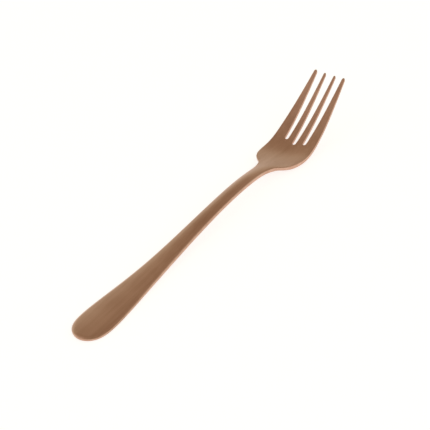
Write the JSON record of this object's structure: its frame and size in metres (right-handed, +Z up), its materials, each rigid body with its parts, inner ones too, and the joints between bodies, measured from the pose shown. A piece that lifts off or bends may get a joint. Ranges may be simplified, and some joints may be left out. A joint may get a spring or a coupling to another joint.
{
  "type": "table fork",
  "caption": "Table fork with straight tines, a rounded head and a long handle that widens to a round end, in satin copper-coloured stainless steel.",
  "frame": {"origin": "on the table plane under the middle of the fork, at the bottom centre of its bounding box", "axes": "+X along the fork from the handle's end to the tine tips, +Y across it to its left, +Z up, out of the fork's face"},
  "size_m": [0.2, 0.0258, 0.0254],
  "materials": {
    "copper_satin": "satin-brushed stainless steel with a copper-coloured vacuum coating"
  },
  "bodies": {
    "root": {"fork": "copper_satin"}
  },
  "joints": []
}
